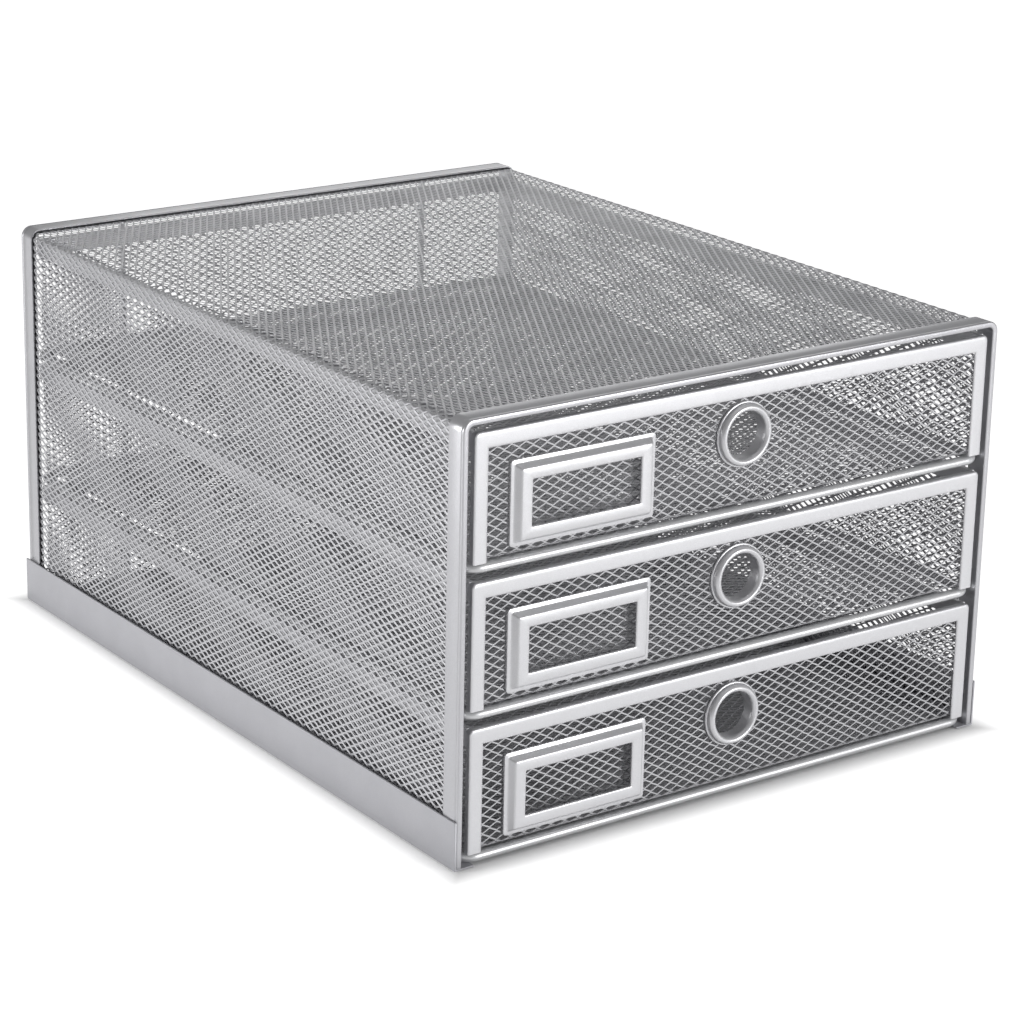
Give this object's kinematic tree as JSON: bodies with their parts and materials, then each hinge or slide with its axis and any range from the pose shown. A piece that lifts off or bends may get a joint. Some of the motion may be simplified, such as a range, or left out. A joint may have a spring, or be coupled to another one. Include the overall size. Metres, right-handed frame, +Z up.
{
  "type": "desktop mesh drawer unit",
  "caption": "Desktop cabinet of silver expanded-metal mesh with sliding mesh drawers that have label holders and finger rings, for paper, craft supplies and small parts.",
  "frame": {"origin": "middle of the footprint, on the standing surface", "axes": "+X to the right seen from the front, +Y from the drawer fronts to the back, +Z up; the drawers slide out along -Y"},
  "size_m": [0.252, 0.3326, 0.168],
  "materials": {
    "expanded_mesh": "satin silver powder coat on expanded steel",
    "frame_paint": "satin silver powder coat",
    "base_paint": "satin silver grey powder coat",
    "pressed_trim": "smooth satin silver paint on pressed steel",
    "bright_wire": "smooth silver paint on drawn wire"
  },
  "bodies": {
    "case": {"left_base_rail": "base_paint", "right_base_rail": "base_paint", "front_frame": "frame_paint", "rear_frame": "frame_paint", "case_left_mesh": "expanded_mesh", "case_right_mesh": "expanded_mesh", "case_top_mesh": "expanded_mesh", "case_left_bend": "expanded_mesh", "case_right_bend": "expanded_mesh", "bottom_wire_shelf": "bright_wire", "middle_wire_shelf": "bright_wire", "top_wire_shelf": "bright_wire", "left_rear_rod": "bright_wire", "right_rear_rod": "bright_wire"},
    "bottom_drawer": {"bottom_drawer_front_mesh": "expanded_mesh", "bottom_drawer_floor_mesh": "expanded_mesh", "bottom_drawer_left_mesh": "expanded_mesh", "bottom_drawer_right_mesh": "expanded_mesh", "bottom_drawer_back_mesh": "expanded_mesh", "bottom_drawer_front_trim": "pressed_trim", "bottom_drawer_rim_strip": "pressed_trim", "bottom_drawer_label_holder": "pressed_trim", "bottom_drawer_finger_ring": "pressed_trim", "bottom_drawer_ring_washer": "pressed_trim"},
    "middle_drawer": {"middle_drawer_front_mesh": "expanded_mesh", "middle_drawer_floor_mesh": "expanded_mesh", "middle_drawer_left_mesh": "expanded_mesh", "middle_drawer_right_mesh": "expanded_mesh", "middle_drawer_back_mesh": "expanded_mesh", "middle_drawer_front_trim": "pressed_trim", "middle_drawer_rim_strip": "pressed_trim", "middle_drawer_label_holder": "pressed_trim", "middle_drawer_finger_ring": "pressed_trim", "middle_drawer_ring_washer": "pressed_trim"},
    "top_drawer": {"top_drawer_front_mesh": "expanded_mesh", "top_drawer_floor_mesh": "expanded_mesh", "top_drawer_left_mesh": "expanded_mesh", "top_drawer_right_mesh": "expanded_mesh", "top_drawer_back_mesh": "expanded_mesh", "top_drawer_front_trim": "pressed_trim", "top_drawer_rim_strip": "pressed_trim", "top_drawer_label_holder": "pressed_trim", "top_drawer_finger_ring": "pressed_trim", "top_drawer_ring_washer": "pressed_trim"}
  },
  "joints": [
    {"name": "bottom_drawer_slide", "type": "slide", "parent": "case", "child": "bottom_drawer", "axis": [0, -1, 0], "range_m": [0, 0.25]},
    {"name": "middle_drawer_slide", "type": "slide", "parent": "case", "child": "middle_drawer", "axis": [0, -1, 0], "range_m": [0, 0.25]},
    {"name": "top_drawer_slide", "type": "slide", "parent": "case", "child": "top_drawer", "axis": [0, -1, 0], "range_m": [0, 0.25]}
  ]
}
